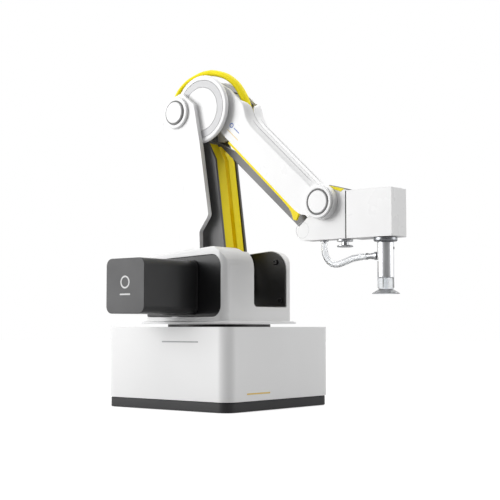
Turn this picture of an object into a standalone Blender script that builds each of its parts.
"""Desktop robot arm: a square base, a turning turret with two motors, two arm sections whose parallel
links keep the hand level, and a hand that carries a suction tool.

All lengths in this file are millimetres, and the helpers turn them into metres. The origin is the middle
of the base's underside, +X is the way the arm reaches, +Y is the robot's left, and +Z is up. Side
outlines are (x, z).
"""

import math

import bpy
import bmesh
from mathutils import Vector

MM = 0.001
ARC_STEPS = 6
ROUND_SIDES = 28

# The base and the turret.
BASE_HALF = 75.0
BASE_CORNER = 12.0
BASE_TOP = 72.8
PLINTH_HALF = 73.8
PLINTH_TOP = 8.7
WALL = 2.4
NECK_RADIUS = 48.0
FLANGE_HALF = 54.0
FLANGE_BOTTOM = 75.7
TURRET_FRONT = 49.0
TURRET_RIGHT = -49.0
TURRET_LEFT = 48.5
SLOT_RIGHT = -8.5
SLOT_LEFT = 40.0
SLOT_FLOOR = 91.0

# The pivots, as (x, z) in the plane that the arm moves in.
SHOULDER = (-7.0, 108.5)
ELBOW = (-22.7, 281.8)
WRIST = (111.5, 183.2)
LINK_OFFSET = (-26.4, -1.4)
LEVEL_OFFSET = (-11.0, 11.0)
HAND_OFFSET = (-23.0, -23.5)
FOREARM_TILT = 42.34
TOOL_AXIS = (172.1, 19.0)

# The layers across the arm, from the robot's right (-Y) to its left (+Y).
CRANK_LAYER = (-12.8, -8.2)
LINK_LAYER = (-7.4, -2.4)
DISC_LAYER = (-2.0, 2.0)
RIGHT_PLATE = (2.4, 4.9)
SHELL_RIGHT = 5.3
SHELL_LEFT = 32.7
SHELL_WALL = 3.0
SEAM = 13.0
LEVEL_LINK_LAYER = (17.6, 22.2)
LEVEL_GROOVE = (17.3, 22.5)
LEVEL_PLATE_LAYER = (22.8, 25.0)
LEVEL_ROD_LAYER = (25.4, 27.6)
LEFT_PLATE = (33.1, 35.6)
HAND_LAYER = (12.2, 25.8)
SERVO_LAYER = (7.2, 30.9)

GAP = 0.3

# The forearm's shell, as (distance from the elbow along the forearm, value) pairs.
WRIST_ALONG = 165.6
WRIST_ABOVE = 17.5
WRIST_RADIUS = 15.5
ELBOW_STATIONS = (-28, -24, -18, -10, 0, 10, 20, 27.5, 32, 35, 38, 41, 45, 49, 54, 62)
WRIST_STATIONS = (100, 140, 144, 149, 151, 153, 157, 161, 165.6, 170, 174, 177.5, 180, 181)
SIDE_TOP = (
    (0, 30),
    (8, 32),
    (30, 31.5),
    (36, 29.5),
    (41, 25.5),
    (46, 22.2),
    (54, 20.4),
    (64, 20),
    (142, 20.5),
)
SIDE_BOTTOM = ((27.4, -4.4), (150, -4.6), (157, -3.4), (162, -0.5))
CROWN_WIDTH = ((31, 0.0), (35, 0.35), (39, 0.85), (44, 1.0), (149, 1.0), (152, 0.0))
CROWN_HEIGHT = ((28, 0.6), (36, 5.5), (42, 9.0), (50, 8.2), (60, 7.2), (138, 6.4), (149, 6.0), (153, 0.6))
WRIST_THICKNESS = ((144, 3.0), (150, 6.6))
CROWN_LAYER = 2.4

# The flat sleeve over the elbow: a rear half that rises behind the arm, and a front half that dips into
# the forearm.
SLEEVE_Y = 15.0
SLEEVE_HALF_WIDTH = 4.6
SLEEVE_HALF_THICKNESS = 3.0
REAR_SLEEVE_ROUTE = (
    (-27, 198),
    (-38, 212),
    (-49, 227),
    (-59, 243),
    (-66.5, 261),
    (-70.6, 280),
    (-69.8, 296),
    (-64, 306.6),
    (-52, 315),
    (-38, 319.3),
    (-31, 320.3),
)
FRONT_SLEEVE_ROUTE = (
    (-30.4, 320.3),
    (-20.8, 319.8),
    (-5.9, 314.9),
    (3.6, 308.8),
    (10.9, 301.6),
    (18.0, 290.5),
    (22.0, 280),
    (23.8, 272),
    (25.8, 266),
)

# The short air hose from the nozzle under the hand to the barb on the tool's tube.
AIR_TUBE_RADIUS = 2.9
AIR_TUBE_ROUTE = (
    (107.8, 147.2),
    (107.9, 141.5),
    (109.0, 136.6),
    (112.2, 131.6),
    (117.2, 128.4),
    (123.0, 128.1),
    (130.0, 130.0),
    (137.5, 132.3),
    (144.5, 133.4),
    (150.4, 133.8),
    (153.6, 133.9),
)

WHITE = ((0.86, 0.86, 0.86), 0.38, 0.0)
DARK_GREY = ((0.07, 0.07, 0.075), 0.45, 0.0)
GLOSS_BLACK = ((0.012, 0.012, 0.014), 0.14, 0.0)
COVER_GREY = ((0.16, 0.16, 0.165), 0.4, 0.0)
BLACK = ((0.015, 0.015, 0.015), 0.5, 0.0)
YELLOW = ((0.85, 0.62, 0.03), 0.4, 0.0)
BRIGHT_YELLOW = ((0.95, 0.8, 0.02), 0.45, 0.0)
LINK_GREY = ((0.13, 0.13, 0.135), 0.42, 0.0)
RING_GREY = ((0.66, 0.66, 0.67), 0.4, 0.0)
STEEL = ((0.6, 0.6, 0.62), 0.25, 1.0)
RUBBER = ((0.02, 0.02, 0.02), 0.8, 0.0)
CLEAR = ((0.9, 0.92, 0.93), 0.1, 0.0)
BOARD_GREEN = ((0.01, 0.12, 0.05), 0.5, 0.0)
LIGHT_GREEN = ((0.1, 0.8, 0.2), 0.2, 0.0)

pivots = {}


def clear_scene():
    for obj in list(bpy.data.objects):
        bpy.data.objects.remove(obj, do_unlink=True)


def add_pivot(name, x, y, z):
    """An empty on a joint's axis, which its moving pieces hang from."""
    empty = bpy.data.objects.new(name + "_pivot", None)
    empty.location = (x * MM, y * MM, z * MM)
    empty.empty_display_size = 10 * MM
    bpy.context.scene.collection.objects.link(empty)
    pivots[name] = empty


def give_material(obj, finish):
    colour, roughness, metallic = finish
    material = bpy.data.materials.new(obj.name + "_finish")
    material.use_nodes = True
    shader = material.node_tree.nodes["Principled BSDF"]
    shader.inputs["Base Color"].default_value = (*colour, 1.0)
    shader.inputs["Roughness"].default_value = roughness
    shader.inputs["Metallic"].default_value = metallic
    obj.data.materials.append(material)


def place(obj, finish, pivot):
    """Links the object, gives it its finish and hangs it from a pivot. One with no finish is a hidden helper."""
    bpy.context.scene.collection.objects.link(obj)
    if finish is None:
        obj.hide_render = True
        obj.display_type = "WIRE"
        return obj
    give_material(obj, finish)
    if pivot:
        obj.parent = pivots[pivot]
        obj.matrix_parent_inverse = pivots[pivot].matrix_basis.inverted()
    return obj


def mesh_object(name, points, faces, finish, pivot, smooth_angle=35):
    mesh = bpy.data.meshes.new(name)
    mesh.from_pydata([tuple(MM * c for c in p) for p in points], [], faces)
    work = bmesh.new()
    work.from_mesh(mesh)
    bmesh.ops.recalc_face_normals(work, faces=work.faces)
    work.to_mesh(mesh)
    work.free()
    mesh.shade_smooth()
    mesh.set_sharp_from_angle(angle=math.radians(smooth_angle))
    return place(bpy.data.objects.new(name, mesh), finish, pivot)


def rounded(corners, steps=ARC_STEPS):
    """An outline from (a, b, radius) corners, with each corner made an arc of its radius."""
    outline = []
    count = len(corners)
    for i, (a, b, radius) in enumerate(corners):
        here = Vector((a, b))
        if radius <= 0:
            outline.append((a, b))
            continue
        back = (Vector(corners[i - 1][:2]) - here).normalized()
        ahead = (Vector(corners[(i + 1) % count][:2]) - here).normalized()
        half = back.angle(ahead) / 2
        centre = here + (back + ahead).normalized() * (radius / math.sin(half))
        start = here + back * (radius / math.tan(half)) - centre
        end = here + ahead * (radius / math.tan(half)) - centre
        sweep = start.angle_signed(end)
        for k in range(steps + 1):
            turn = -sweep * k / steps
            cos, sin = math.cos(turn), math.sin(turn)
            a_turned = start.x * cos - start.y * sin
            b_turned = start.x * sin + start.y * cos
            outline.append((centre.x + a_turned, centre.y + b_turned))
    return outline


def rectangle(a0, a1, b0, b1, radius=0.0):
    return rounded([(a0, b0, radius), (a1, b0, radius), (a1, b1, radius), (a0, b1, radius)])


def arc(centre, radius, first, last, steps=12):
    """Points on a circle, from the first angle to the last, in degrees."""
    angles = [math.radians(first + (last - first) * k / steps) for k in range(steps + 1)]
    return [(centre[0] + radius * math.cos(t), centre[1] + radius * math.sin(t)) for t in angles]


def in_space(axis, a, b, along):
    return {"X": (along, a, b), "Y": (a, along, b), "Z": (a, b, along)}[axis]


def loft(name, sections, finish, pivot, smooth_angle=35):
    """A closed body through sections with the same number of points."""
    count = len(sections[0])
    points = [p for section in sections for p in section]
    faces = [tuple(range(count)), tuple(range(len(points) - count, len(points)))]
    for s in range(len(sections) - 1):
        for i in range(count):
            j = (i + 1) % count
            faces.append((s * count + i, s * count + j, (s + 1) * count + j, (s + 1) * count + i))
    return mesh_object(name, points, faces, finish, pivot, smooth_angle)


def prism(name, outline, axis, low, high, finish=None, pivot=None):
    """An outline pushed along an axis. Its (a, b) are (y, z), (x, z) or (x, y) for X, Y or Z."""
    sections = [[in_space(axis, a, b, along) for a, b in outline] for along in (low, high)]
    return loft(name, sections, finish, pivot)


def turned(name, axis, centre, profile, finish=None, pivot=None, sides=ROUND_SIDES):
    """A closed (radius, along) profile turned about an axis through centre, an (a, b) pair."""
    points = []
    rings = []
    for radius, along in profile:
        corners = 1 if radius == 0 else sides
        rings.append([len(points) + k for k in range(corners)])
        for k in range(corners):
            t = 2 * math.pi * k / sides
            a = centre[0] + radius * math.cos(t)
            b = centre[1] + radius * math.sin(t)
            points.append(in_space(axis, a, b, along))
    faces = []
    for ring, after in zip(rings, rings[1:] + rings[:1]):
        for k in range(sides):
            n = (k + 1) % sides
            if len(ring) == 1 and len(after) == 1:
                break
            if len(ring) == 1:
                faces.append((ring[0], after[k], after[n]))
            elif len(after) == 1:
                faces.append((ring[k], after[0], ring[n]))
            else:
                faces.append((ring[k], after[k], after[n], ring[n]))
    return mesh_object(name, points, faces, finish, pivot)


def cylinder(name, axis, centre, radius, low, high, finish=None, pivot=None, sides=ROUND_SIDES):
    profile = [(0, low), (radius, low), (radius, high), (0, high)]
    return turned(name, axis, centre, profile, finish, pivot, sides)


def ring(name, axis, centre, inner, outer, low, high, finish=None, pivot=None):
    profile = [(inner, low), (outer, low), (outer, high), (inner, high)]
    return turned(name, axis, centre, profile, finish, pivot)


def combine(obj, operation, *others):
    for other in others:
        modifier = obj.modifiers.new(f"{operation.lower()}_{other.name}", "BOOLEAN")
        modifier.operation = operation
        modifier.object = other
        modifier.solver = "EXACT"
        other.hide_render = True
        other.display_type = "WIRE"


def cut(obj, *cutters):
    combine(obj, "DIFFERENCE", *cutters)


def join(obj, *others):
    combine(obj, "UNION", *others)


def hole(obj, axis, centre, radius, low, high, sides=24):
    name = f"{obj.name}_hole_{len(obj.modifiers)}"
    cut(obj, cylinder(name, axis, centre, radius, low, high, sides=sides))


def moved(point, offset):
    return (point[0] + offset[0], point[1] + offset[1])


def along_arm(u, v):
    """A point in the rear arm's own frame: u from the shoulder towards the elbow, v forwards."""
    length = math.dist(SHOULDER, ELBOW)
    ux = (ELBOW[0] - SHOULDER[0]) / length
    uz = (ELBOW[1] - SHOULDER[1]) / length
    return (SHOULDER[0] + u * ux + v * uz, SHOULDER[1] + u * uz - v * ux)


def along_forearm(a, b):
    """A point in the forearm's own frame: a from the elbow down its length, b square to it and up."""
    cos = math.cos(math.radians(FOREARM_TILT))
    sin = math.sin(math.radians(FOREARM_TILT))
    return (ELBOW[0] + a * cos + b * sin, ELBOW[1] - a * sin + b * cos)


def between(value, table):
    """Straight-line interpolation in a list of (value, result) pairs."""
    for (v0, r0), (v1, r1) in zip(table, table[1:]):
        if value <= v1:
            return r0 + (r1 - r0) * max(0.0, (value - v0) / (v1 - v0))
    return table[-1][1]


def build_base():
    outline = rectangle(-BASE_HALF, BASE_HALF, -BASE_HALF, BASE_HALF, BASE_CORNER)
    shell = prism("base_shell", outline, "Z", 9.0, BASE_TOP, WHITE)
    inner = BASE_HALF - WALL
    outline = rectangle(-inner, inner, -inner, inner, BASE_CORNER - WALL)
    cut(shell, prism("base_hollow", outline, "Z", 0, 70))
    hole(shell, "Z", (0, 0), NECK_RADIUS + 2, 60, 80, ROUND_SIDES)
    cut(shell, prism("panel_window", rectangle(-46.3, 46.3, 19.7, 50.3, 3), "X", -80, -70))

    outline = rectangle(-PLINTH_HALF, PLINTH_HALF, -PLINTH_HALF, PLINTH_HALF, 11)
    tray = prism("base_tray", outline, "Z", 0, PLINTH_TOP, DARK_GREY)
    cut(tray, prism("tray_hollow", rectangle(-70.5, 70.5, -70.5, 70.5, 8), "Z", 3.2, 20))
    feet = [(58, 58), (58, -58), (-58, -58), (-58, 58)]
    for number, place_at in enumerate(feet, 1):
        hole(tray, "Z", place_at, 8.4, -5, 1.7)
        profile = [(0, 0), (7.4, 0), (8.0, 0.6), (8.0, 1.4), (0, 1.4)]
        turned(f"rubber_foot_{number}", "Z", place_at, profile, RUBBER, sides=28)

    motor = prism("yaw_motor", rectangle(-21, 21, -21, 21, 4), "Z", 3.5, 38, BLACK)
    join(motor, cylinder("yaw_gear_case", "Z", (0, 0), 17, 37, 58))
    hole(motor, "Z", (0, 0), 4.4, 49, 60)
    ring("yaw_bearing", "Z", (0, 0), 36, 55, 66.5, 69.7, STEEL)

    board = prism("main_board", rectangle(-66, -30, -45, 45), "Z", 8, 9.6, BOARD_GREEN)
    legs = [(-63, -42), (-63, 42), (-33, -42), (-33, 42)]
    for number, (x, y) in enumerate(legs):
        join(board, cylinder(f"board_leg_{number}", "Z", (x, y), 2.5, 3.5, 8.5, sides=12))
    join(board, prism("board_processor", rectangle(-54, -40, -7, 7), "Z", 9, 11.5))
    join(board, prism("board_connectors", rectangle(-66, -58, -30, 30), "Z", 9, 16))
    join(board, cylinder("board_capacitor", "Z", (-40, 30), 5, 9, 22, sides=20))


def build_rear_panel():
    """The sockets and the buttons on the back of the base."""
    panel = prism("rear_panel", rectangle(-46, 46, 20, 50, 2.8), "X", -74.6, -72.2, DARK_GREY)
    hole(panel, "X", (-32, 35), 5.8, -80, -70)
    cut(panel, prism("usb_window", rectangle(-18.6, -5.4, 28.6, 41.4), "X", -80, -70))
    hole(panel, "X", (6, 35), 2.5, -80, -70)
    hole(panel, "X", (22, 35), 6.5, -80, -70)
    hole(panel, "X", (37, 35), 4.1, -80, -70)

    socket = [(3.3, -74.9), (5.4, -74.9), (5.4, -60), (0, -60), (0, -61.5), (3.3, -61.5)]
    turned("power_socket", "X", (-32, 35), socket, BLACK, sides=24)
    usb = prism("usb_socket", rectangle(-18, -6, 29, 41), "X", -74.9, -58, STEEL)
    cut(usb, prism("usb_hollow", rectangle(-16.8, -7.2, 30.2, 39.8), "X", -80, -60))
    light = [(0, -75.2), (1.4, -75.0), (2.1, -74.4), (2.1, -70), (0, -70)]
    turned("status_light", "X", (6, 35), light, LIGHT_GREEN, sides=20)
    power = [(0, -75.9), (5.4, -75.9), (6.1, -75.3), (6.1, -68), (0, -68)]
    turned("power_button", "X", (22, 35), power, RING_GREY, "power_button_slide", 28)
    key = [(0, -75.7), (3.2, -75.7), (3.7, -75.2), (3.7, -69), (0, -69)]
    turned("key_button", "X", (37, 35), key, RING_GREY, "key_button_slide", 24)


def turret_side(inset, floor):
    """The turret's side outline: the top slopes down to the back and the front is well rounded."""
    back = -TURRET_FRONT + inset
    front = TURRET_FRONT - inset
    front_corner = (front, 146.4 - inset, 19 - inset)
    back_corner = (back, 138.6 - inset, 8 - inset)
    return rounded([(back, floor, 0), (front, floor, 0), front_corner, back_corner], 8)


def turret_across(x, top):
    outline = rounded(
        [(TURRET_RIGHT, 76.5, 0), (TURRET_LEFT, 76.5, 0), (TURRET_LEFT, top, 6), (TURRET_RIGHT, top, 6)]
    )
    return [(x, y, z) for y, z in outline]


def build_turret():
    shell = prism("turret_shell", turret_side(0, 76.5), "Y", -60, 60, WHITE, "base_yaw")
    plan = rounded(
        [
            (-TURRET_FRONT, TURRET_RIGHT, 4),
            (TURRET_FRONT, TURRET_RIGHT, 8),
            (TURRET_FRONT, TURRET_LEFT, 5),
            (-TURRET_FRONT, TURRET_LEFT, 4),
        ]
    )
    combine(shell, "INTERSECT", prism("turret_plan", plan, "Z", 60, 170))
    across = [turret_across(-60, 138), turret_across(60, 147.6)]
    combine(shell, "INTERSECT", loft("turret_section", across, None, None))
    flange = FLANGE_HALF
    rim = [
        [(x, y, z) for x, y in rectangle(-half, half, -half, half, 9)]
        for half, z in ((flange, FLANGE_BOTTOM), (flange, 77.3), (flange - 2.2, 78.1))
    ]
    join(shell, loft("turret_flange", rim, None, None))
    floor = [(SLOT_RIGHT, SLOT_FLOOR, 4), (SLOT_LEFT, SLOT_FLOOR, 2)]
    slot = rounded(floor + [(SLOT_LEFT, 190, 0), (SLOT_RIGHT, 190, 0)])
    cut(shell, prism("arm_slot", slot, "X", -70, 70))
    cut(shell, prism("crank_pocket", rectangle(-60, 41, 82, 160), "Y", -15.7, -8.0))
    cut(shell, prism("link_pit", rectangle(-44, -12, 82, 100), "Y", -8.6, -1.8))
    cut(shell, prism("turret_hollow", rectangle(-46, 46, -46, 46, 3), "Z", 60, 88.2))
    cut(shell, prism("right_tower_hollow", rectangle(-46, 46, -46, -18.5, 2), "Z", 60, 132))
    window = rounded([(-60, 81.7, 0), (43.7, 81.7, 9.5), (43.7, 138.0, 10), (-60, 134.0, 0)])
    cut(shell, prism("side_window", window, "Y", -60, -45.6))
    hole(shell, "Y", SHOULDER, 14.5, -22, -14, 32)
    hole(shell, "Y", SHOULDER, 14.5, 39, 52, 32)

    spool = [
        (0, 75.3),
        (NECK_RADIUS, 75.3),
        (NECK_RADIUS, 70.1),
        (35.6, 70.1),
        (35.6, 66.1),
        (42, 66.1),
        (42, 61),
        (4, 61),
        (4, 50),
        (0, 50),
    ]
    turned("turret_neck", "Z", (0, 0), spool, BLACK, "base_yaw", 40)

    outline = rounded([(-47.2, 82.0, 1), (43.4, 82.0, 9.2), (43.4, 137.7, 9.7), (-47.2, 134.2, 1)])
    panel = prism("right_side_panel", outline, "Y", -48.0, -45.9, GLOSS_BLACK, "base_yaw")
    hole(panel, "Y", SHOULDER, 14.6, -60, -40, 32)


def motor_and_cover(side, cover_open, cover_end, motor_near, motor_far, gear_tip, bore):
    """One of the two arm motors with its gear case, under its square cover."""
    outward = 1 if cover_end > cover_open else -1
    square = rectangle(-30.4, 16.3, 84.3, 132.3, 6.5)
    cover = prism(f"{side}_motor_cover", square, "Y", cover_open, cover_end, COVER_GREY, "base_yaw")
    inner = rectangle(-28.8, 14.7, 85.9, 130.7, 4.9)
    cut(cover, prism(f"{side}_cover_hollow", inner, "Y", cover_open - 5 * outward, cover_end - 2 * outward))
    x, z = SHOULDER
    body = rectangle(x - 21, x + 21, z - 21, z + 21, 4)
    motor = prism(f"{side}_motor", body, "Y", motor_near, motor_far, BLACK, "base_yaw")
    gear_case = cylinder(f"{side}_gear_case", "Y", SHOULDER, 13.9, gear_tip, motor_near + outward, sides=32)
    join(motor, gear_case)
    hole(motor, "Y", SHOULDER, bore, gear_tip - outward, gear_tip + 9 * outward)


def build_slot():
    """The black liners of the arm slot, with their screws."""
    liner = prism("left_slot_liner", turret_side(0.6, SLOT_FLOOR + 1.4), "Y", 38.2, 39.7, BLACK, "base_yaw")
    hole(liner, "Y", SHOULDER, 6.5, 30, 45)
    outline = rounded([(-45, 92.3, 2), (40.5, 92.3, 2), (40.5, 143.4, 17), (-45, 142.6, 2)])
    liner = prism("right_slot_liner", outline, "Y", -15.4, -14.0, BLACK, "base_yaw")
    hole(liner, "Y", SHOULDER, 6.0, -20, -10)
    for name, centre in (("liner_screw_upper", (37.5, 134.0)), ("liner_screw_lower", (43.0, 97.5))):
        head = [(0, 37.9), (2.6, 37.9), (2.6, 36.9), (2.1, 36.5), (1.2, 36.5), (1.2, 37.3), (0, 37.3)]
        turned(name, "Y", centre, head, STEEL, "base_yaw", 20)

    anchor_pin = moved(SHOULDER, LEVEL_OFFSET)
    post = [(-27, 91.4), (-13.5, 91.4), (-13.5, 112)] + arc(anchor_pin, 4.8, 0, 180, 10) + [(-27, 106)]
    anchor = prism("level_anchor", post, "Y", 29.0, 32.0, DARK_GREY, "base_yaw")
    join(anchor, prism("anchor_foot", rectangle(-30, -12.5, 91.4, 93.2), "Y", 20, 31.5))
    join(anchor, cylinder("anchor_pin", "Y", anchor_pin, 2.2, 24.8, 30, sides=20))


def arm_plate(name, layer):
    front = [along_arm(u, v) for u, v in ((30, 15.2), (124, 10.9), (141, 3.4), (153, 3.4))]
    back = [along_arm(u, v) for u, v in ((150, -13.5), (30, -15))]
    lean = math.degrees(math.atan2(ELBOW[1] - SHOULDER[1], ELBOW[0] - SHOULDER[0]))
    top = arc(ELBOW, 14, lean - 90, lean + 90)
    bottom = arc(SHOULDER, 15, lean + 90, lean + 270)
    return prism(name, front + top + back + bottom, "Y", *layer, DARK_GREY, "shoulder")


def channel_section(u, front, back):
    """One level of the yellow channel: a front web with a groove down its middle, and two side walls."""
    y0 = RIGHT_PLATE[1] + GAP
    y1 = LEFT_PLATE[0] - GAP
    g0, g1 = LEVEL_GROOVE
    web = front - 5
    profile = [
        (y0, back),
        (y0, front - 1),
        (y0 + 1, front),
        (g0, front),
        (g0, web),
        (g1, web),
        (g1, front),
        (y1 - 1, front),
        (y1, front - 1),
        (y1, back),
        (y1 - 3, back),
        (y1 - 3, web - 3),
        (y0 + 3, web - 3),
        (y0 + 3, back),
    ]
    return [(along_arm(u, v)[0], y, along_arm(u, v)[1]) for y, v in profile]


def build_rear_arm():
    right = arm_plate("rear_arm_right_plate", RIGHT_PLATE)
    hole(right, "Y", ELBOW, 6.4, 0, 10)
    hole(right, "Y", SHOULDER, 5.3, 0, 10)
    left = arm_plate("rear_arm_left_plate", LEFT_PLATE)
    hole(left, "Y", ELBOW, 4.3, 30, 40)
    hole(left, "Y", SHOULDER, 5.3, 30, 40)
    levels = [channel_section(30, 14.2, -9), channel_section(124, 10, -9), channel_section(141, 2.5, -9)]
    channel = loft("rear_arm_channel", levels, YELLOW, "shoulder")
    opening = [along_arm(u, v) for u, v in ((78, -30), (78, 30), (160, 30), (160, -30))]
    cut(channel, prism("link_opening", opening, "Y", *LEVEL_GROOVE))
    notch = [along_arm(u, v) for u, v in ((133.5, -30), (133.5, 30), (160, 30), (160, -30))]
    cut(channel, prism("level_plate_notch", notch, "Y", LEVEL_GROOVE[0], LEVEL_PLATE_LAYER[1] + GAP))
    cylinder("shoulder_shaft", "Y", SHOULDER, 5.0, 1.6, 45.5, STEEL, "shoulder")
    shaft = [(0, 21.9), (4.0, 21.9), (4.0, 35.9), (9.5, 35.9), (9.5, 37.0), (8.7, 37.8), (0, 37.8)]
    turned("elbow_shaft", "Y", ELBOW, shaft, STEEL, "shoulder")


def build_level_linkage():
    """The links that keep the hand level: a rod, a plate at the elbow and a bar to the hand."""
    low = moved(SHOULDER, LEVEL_OFFSET)
    high = moved(ELBOW, LEVEL_OFFSET)
    lean = math.degrees(math.atan2(ELBOW[1] - SHOULDER[1], ELBOW[0] - SHOULDER[0]))
    outline = arc(high, 4.4, lean - 90, lean + 90, 10) + arc(low, 4.4, lean + 90, lean + 270, 10)
    rod = prism("rear_level_rod", outline, "Y", *LEVEL_ROD_LAYER, LINK_GREY, "level_rod")
    hole(rod, "Y", low, 2.5, 20, 30, 20)
    hole(rod, "Y", high, 2.5, 20, 30, 20)

    bar_pin = moved(ELBOW, HAND_OFFSET)
    outline = arc(ELBOW, 9, -50, 40, 6) + arc(high, 5.5, 40, 175, 8) + arc(bar_pin, 6.5, 175, 320, 8)
    plate = prism("level_plate", outline, "Y", *LEVEL_PLATE_LAYER, DARK_GREY, "level")
    hole(plate, "Y", ELBOW, 4.3, 20, 30)
    join(plate, cylinder("level_plate_rod_pin", "Y", high, 2.2, 24, 27.9, sides=20))
    join(plate, cylinder("level_plate_bar_pin", "Y", bar_pin, 2.6, 17.4, 24, sides=20))

    tail_pin = moved(WRIST, HAND_OFFSET)
    outline = arc(bar_pin, 6.5, 60, 270, 12) + [(-17.5, 250.6), (81.6, 162.8)]
    outline += arc(tail_pin, 5.6, 200, 400, 12) + [(87.0, 172.3), (18.6, 233.0)]
    bar = prism("level_link", outline, "Y", *LEVEL_LINK_LAYER, LINK_GREY, "level_link")
    hole(bar, "Y", bar_pin, 2.9, 10, 30, 20)
    hole(bar, "Y", tail_pin, 2.9, 10, 30, 20)


def build_drive_linkage():
    """The crank in the turret and the white link that lift the forearm."""
    tip = moved(SHOULDER, LINK_OFFSET)
    lean = math.degrees(math.atan2(LINK_OFFSET[1], LINK_OFFSET[0]))
    outline = arc(tip, 7, lean - 90, lean + 90) + arc(SHOULDER, 9, lean + 90, lean + 270)
    crank = prism("forearm_crank", outline, "Y", *CRANK_LAYER, STEEL, "crank")
    hole(crank, "Y", tip, 3.3, -20, 0, 20)
    join(crank, cylinder("crank_shaft", "Y", SHOULDER, 4.0, -25, -12, sides=24))
    cylinder("crank_pin", "Y", tip, 3.0, -12.6, -2.6, STEEL, "crank", 24)

    top = moved(ELBOW, LINK_OFFSET)
    right_edge = [(-26.2, 110, 0), (-17.9, 144, 6), (-18.8, 163.3, 5), (-7.4, 178.0, 6), (-18.3, 245.3, 4)]
    right_edge += [(-26.9, 286.4, 6), (-43.0, 299.2, 4)]
    left_edge = [(-66.6, 271, 4), (-64.5, 257.0, 5), (-46.1, 240.6, 9), (-38.2, 204, 10), (-37.8, 193, 10)]
    left_edge += [(-44.8, 178.6, 8), (-42.8, 148, 6)]
    boss = [(a, b, 0) for a, b in arc(top, 16.2, 100, 185, 8)]
    eye = [(a, b, 0) for a, b in arc(tip, 7.5, 185, 350, 10)]
    outline = rounded(right_edge + boss + left_edge + eye, 4)
    link = prism("drive_link", outline, "Y", *LINK_LAYER, WHITE, "drive_link")
    hole(link, "Y", tip, 3.3, -20, 0, 20)
    hole(link, "Y", top, 6.3, -20, 0)
    cap = [
        (0, -2.4),
        (6.0, -2.4),
        (6.0, -7.7),
        (15.5, -7.7),
        (15.5, -9.4),
        (14.9, -10.0),
        (11.9, -10.0),
        (11.9, -9.0),
        (10.5, -9.0),
        (10.5, -11.2),
        (9.9, -11.8),
        (0, -11.8),
    ]
    turned("link_pin_cap", "Y", top, cap, WHITE, "link_pin")


def shell_limits(a):
    """The lowest and highest point of the shell's side, a along the forearm."""
    elbow_low, elbow_high = 28.2, 30.2
    if a < 0:
        return -math.sqrt(elbow_low**2 - a * a), math.sqrt(elbow_high**2 - a * a)
    low = -math.sqrt(elbow_low**2 - a * a) if a < 27.4 else between(a, SIDE_BOTTOM)
    high = between(a, SIDE_TOP)
    reach = WRIST_RADIUS**2 - (a - WRIST_ALONG) ** 2
    if a > 150 and reach > 0:
        high = max(high if a < WRIST_ALONG else -99, WRIST_ABOVE + math.sqrt(reach))
        if a > 162:
            low = WRIST_ABOVE - math.sqrt(reach)
    if a > WRIST_ALONG and reach <= 0.5:
        low, high = WRIST_ABOVE - 1.5, WRIST_ABOVE + 1.5
    return low, high


def crown(y):
    """How high the shell's rounded top stands at y, from 0 at its sides to 1 in the middle."""
    middle, half = (SHELL_RIGHT + SHELL_LEFT) / 2, (SHELL_LEFT - SHELL_RIGHT) / 2 + 0.05
    return math.sqrt(max(0.0, 1 - ((y - middle) / half) ** 2))


def shell_section(a, side, edges):
    """One section of a half shell. Its crown runs over edges, measured inwards from its outer side face."""
    low, high = shell_limits(a)
    outer, inward = (SHELL_RIGHT, 1) if side == "right" else (SHELL_LEFT, -1)
    wall = between(a, WRIST_THICKNESS)
    width = between(a, CROWN_WIDTH)
    height = between(a, CROWN_HEIGHT)
    reach = wall + (edges[-1] - wall) * width
    squeeze = reach / edges[-1]
    top = [(e * squeeze, high + height * crown(outer + inward * e)) for e in edges]
    last = top[-1]
    shoulder = (wall + 0.35 * (last[0] - wall), high - CROWN_LAYER + 0.7 * (last[1] - high))
    inner = [(last[0], last[1] - CROWN_LAYER), shoulder, (wall, high - CROWN_LAYER)]
    profile = [(0, low)] + top + inner + [(wall, low)]
    section = []
    for number, (inset, b) in enumerate(profile):
        rim = number in (0, len(profile) - 1)
        x, z = along_forearm(a, b if rim else max(b, low + 0.2))
        section.append((x, outer + inward * inset, z))
    return section


def half_shell(name, side, edges):
    sections = [shell_section(a, side, edges) for a in ELBOW_STATIONS + WRIST_STATIONS]
    return loft(name, sections, WHITE, "forearm", 40)


def frame_section(a, low, high):
    """One section of the yellow inner frame: an upside-down U with thin walls."""
    y0 = SHELL_RIGHT + SHELL_WALL + GAP
    y1 = SHELL_LEFT - SHELL_WALL - GAP
    profile = [(y0, low), (y0, high), (y1, high), (y1, low)]
    profile += [(y1 - 2.4, low), (y1 - 2.4, high - 2), (y0 + 2.4, high - 2), (y0 + 2.4, low)]
    return [(along_forearm(a, b)[0], y, along_forearm(a, b)[1]) for y, b in profile]


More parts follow.
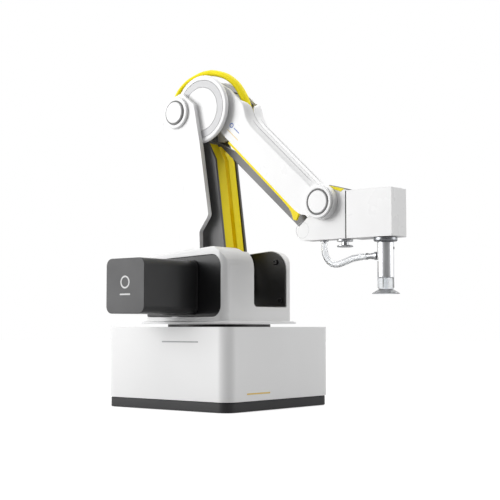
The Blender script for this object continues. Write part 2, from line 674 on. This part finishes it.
def build_forearm():
    right_edges = (0, 0.5, 1.6, 3.2, 5.2, SEAM - 0.2 - SHELL_RIGHT)
    left_edges = (0, 0.5, 1.6, 3.4, 6.0, 9.5, 13.7, 17, SHELL_LEFT - SEAM - 0.2)
    right = half_shell("forearm_right_shell", "right", right_edges)
    hole(right, "Y", ELBOW, 6.4, 0, 15)
    hole(right, "Y", WRIST, 5.3, 0, 15)
    left = half_shell("forearm_left_shell", "left", left_edges)
    hole(left, "Y", ELBOW, 4.4, 20, 40)
    hole(left, "Y", WRIST, 5.3, 20, 40)
    for shell in (right, left):
        hole(shell, "Y", WRIST, 16.3, HAND_LAYER[0] - GAP, HAND_LAYER[1] + GAP, 48)
    levels = [frame_section(42, -8.0, 15.5), frame_section(127, -8.0, 15.5), frame_section(139.6, -8.6, 12)]
    inner = loft("forearm_inner_frame", levels, YELLOW, "forearm")
    skirt = [(112, -6), (112, -7.4), (138, -8), (146, -10), (152, -13.2), (155, -11.8), (153.4, -5.2), (112, -5.2)]
    outline = [along_forearm(a, b) for a, b in skirt]
    inside = SHELL_RIGHT + SHELL_WALL + GAP
    join(inner, prism("frame_skirt", outline, "Y", inside, inside + 2.4))

    face, back = DISC_LAYER
    disc = [
        (0, face),
        (21.1, face),
        (21.1, -0.9),
        (28.3, -0.9),
        (28.3, face),
        (31.6, face),
        (33.0, -0.8),
        (33.0, 0.8),
        (31.8, back),
        (6.0, back),
        (6.0, 8.2),
        (0, 8.2),
    ]
    turned("elbow_disc", "Y", ELBOW, disc, WHITE, "forearm", 40)
    ring("elbow_ring", "Y", ELBOW, 21.4, 28.0, -1.9, -1.2, RING_GREY, "forearm")

    cap = [
        (0, 2.8),
        (9.8, 2.8),
        (10.3, 3.2),
        (10.3, 4.0),
        (11.8, 4.0),
        (11.8, 3.2),
        (14.2, 3.2),
        (14.8, 3.8),
        (14.8, 4.95),
        (5.0, 4.95),
        (5.0, 32.4),
        (0, 32.4),
    ]
    turned("wrist_cap_right", "Y", WRIST, cap, WHITE, "forearm")
    ring("wrist_ring", "Y", WRIST, 10.5, 11.6, 2.9, 3.8, DARK_GREY, "forearm")
    cap = [(0, 33.0), (13, 33.0), (13, 34.2), (12.2, 35), (0, 35)]
    turned("wrist_cap_left", "Y", WRIST, cap, WHITE, "forearm")


def smooth_route(route, spacing):
    """Points at an even spacing on a smooth curve through the route's own points."""
    before = Vector(route[0]) * 2 - Vector(route[1])
    after = Vector(route[-1]) * 2 - Vector(route[-2])
    knots = [before] + [Vector(p) for p in route] + [after]
    fine = []
    for p0, p1, p2, p3 in zip(knots, knots[1:], knots[2:], knots[3:]):
        square = 2 * p0 - 5 * p1 + 4 * p2 - p3
        cube = 3 * p1 - p0 - 3 * p2 + p3
        for k in range(12):
            t = k / 12
            fine.append(p1 + 0.5 * ((p2 - p0) * t + square * t**2 + cube * t**3))
    fine.append(knots[-2])
    length = sum((b - a).length for a, b in zip(fine, fine[1:]))
    count = max(2, round(length / spacing))
    points = [fine[0]]
    travelled = 0.0
    target = length / count
    for a, b in zip(fine, fine[1:]):
        step = (b - a).length
        while travelled + step >= target - 1e-9 and len(points) < count:
            points.append(a.lerp(b, (target - travelled) / step))
            target += length / count
        travelled += step
    return points + [fine[-1]]


def hose(name, route, y, radius, spacing, finish, pivot):
    curve = bpy.data.curves.new(name, "CURVE")
    curve.dimensions = "3D"
    curve.bevel_depth = radius * MM
    curve.bevel_resolution = 2
    curve.use_fill_caps = True
    points = smooth_route(route, spacing)
    spline = curve.splines.new("POLY")
    spline.points.add(len(points) - 1)
    for slot, point in zip(spline.points, points):
        slot.co = (point.x * MM, y * MM, point.y * MM, 1.0)
    return place(bpy.data.objects.new(name, curve), finish, pivot)


def sleeve(name, route, pivot):
    """An oval band swept along a route, square to it at each point."""
    points = smooth_route(route, 8)
    sections = []
    for i, point in enumerate(points):
        along = (points[min(i + 1, len(points) - 1)] - points[max(i - 1, 0)]).normalized()
        out = Vector((-along.y, along.x))
        section = []
        for k in range(12):
            t = 2 * math.pi * k / 12
            across = point + out * SLEEVE_HALF_THICKNESS * math.sin(t)
            section.append((across.x, SLEEVE_Y + SLEEVE_HALF_WIDTH * math.cos(t), across.y))
        sections.append(section)
    return loft(name, sections, BRIGHT_YELLOW, pivot, 60)


def build_hand():
    tail_pin = moved(WRIST, HAND_OFFSET)
    outline = arc(WRIST, 15.4, 180, 92, 8) + [(136.1, 192.9), (139.2, 191.9), (139.2, 150.0)]
    outline += arc(moved(tail_pin, (1.5, -2)), 7.6, 270, 120, 10) + [(97.5, 174)]
    block = prism("hand_block", outline, "Y", *HAND_LAYER, WHITE, "hand")
    hole(block, "Y", WRIST, 5.3, 5, 30)
    slot = [(70, 140), (99, 152), (99, 172), (99, 190), (70, 200)]
    cut(block, prism("tail_slot", slot, "Y", *LEVEL_GROOVE))
    join(block, cylinder("tail_pin", "Y", tail_pin, 2.5, 17, 23, sides=20))

    outline = rectangle(139.6, 185.7, 149.6, 191.5, 0.8)
    box = prism("servo_housing", outline, "Y", *SERVO_LAYER, WHITE, "hand")
    y0, y1 = SERVO_LAYER
    cut(box, prism("servo_hollow", rectangle(130, 183.5, 151.8, 189.3), "Y", y0 + 2.2, y1 - 2.2))
    hole(box, "Z", TOOL_AXIS, 7.0, 140, 155)
    servo = prism("tool_servo", rectangle(142, 182.4, 153, 187), "Y", y0 + 2.8, y1 - 2.8, BLACK, "hand")
    join(servo, cylinder("servo_boss", "Z", TOOL_AXIS, 6.5, 150.2, 155, sides=28))
    hole(servo, "Z", TOOL_AXIS, 3.3, 145, 160, 20)

    nozzle = [(0, 149.6), (3.9, 149.6), (3.9, 148.9), (1.9, 148.9), (1.9, 147.5), (0, 147.5)]
    turned("air_nozzle", "Z", (107.8, 19), nozzle, STEEL, "hand", 24)
    knob = [(0, 149.5), (7.2, 149.5), (7.2, 147.9), (3.1, 147.9), (3.1, 144.6)]
    knob += [(6.6, 144.6), (7.2, 144.0), (7.0, 143.0), (0, 142.7)]
    turned("lock_knob", "Z", (130.2, 19), knob, STEEL, "lock_knob")


def build_tool():
    flange = [(0, 158.5), (3.0, 158.5), (3.0, 149.2), (10.3, 149.2)]
    flange += [(10.3, 146.8), (9.6, 146.0), (0, 146.0)]
    turned("tool_flange", "Z", TOOL_AXIS, flange, STEEL, "tool")
    bored = [(2.0, 115.2), (7.3, 115.2), (7.3, 145.0), (6.8, 145.6), (2.0, 145.6)]
    tube = turned("tool_tube", "Z", TOOL_AXIS, bored, STEEL, "tool")
    hole(tube, "X", (19, 133.9), 1.5, 150, 172)
    barb = [(1.5, 164.2), (3.6, 164.2), (3.6, 161.5), (2.6, 161.5)]
    barb += [(2.9, 158.5), (2.3, 158.5), (2.6, 154.2), (1.5, 154.2)]
    turned("tube_barb", "X", (19, 133.9), barb, STEEL, "tool", 24)
    collar = [(2.0, 105.2), (6.0, 105.2), (7.2, 106.4), (7.2, 114.8), (2.0, 114.8)]
    turned("clear_collar", "Z", TOOL_AXIS, collar, CLEAR, "tool")
    cup = [(2.0, 104.9), (6.4, 104.9), (8.6, 103.6), (12.1, 101.4)]
    cup += [(11.6, 101.0), (8.2, 102.5), (5.0, 103.3), (2.0, 103.3)]
    turned("suction_cup", "Z", TOOL_AXIS, cup, CLEAR, "tool")


def main():
    clear_scene()
    add_pivot("base_yaw", 0, 0, 0)
    add_pivot("power_button_slide", -75, 22, 35)
    add_pivot("key_button_slide", -75, 37, 35)
    for name, (x, z) in {
        "shoulder": SHOULDER,
        "crank": SHOULDER,
        "link_pin": moved(ELBOW, LINK_OFFSET),
        "drive_link": moved(ELBOW, LINK_OFFSET),
        "level_rod": moved(SHOULDER, LEVEL_OFFSET),
        "level": ELBOW,
        "level_link": moved(ELBOW, HAND_OFFSET),
        "forearm": ELBOW,
        "hand": WRIST,
    }.items():
        add_pivot(name, x, 0, z)
    add_pivot("lock_knob", 130.2, 19, 145)
    add_pivot("tool", *TOOL_AXIS, 147)

    build_base()
    build_rear_panel()
    build_turret()
    motor_and_cover("right", -48.5, -116.0, -66.0, -113.0, -17.5, 4.4)
    motor_and_cover("left", 48.9, 88.0, 50.6, 85.5, 41.0, 5.4)
    build_slot()
    build_rear_arm()
    build_level_linkage()
    build_drive_linkage()
    build_forearm()
    sleeve("cable_sleeve_rear", REAR_SLEEVE_ROUTE, "shoulder")
    sleeve("cable_sleeve_front", FRONT_SLEEVE_ROUTE, "forearm")
    build_hand()
    build_tool()
    hose("air_tube", AIR_TUBE_ROUTE, TOOL_AXIS[1], AIR_TUBE_RADIUS, 6, CLEAR, "hand")


main()
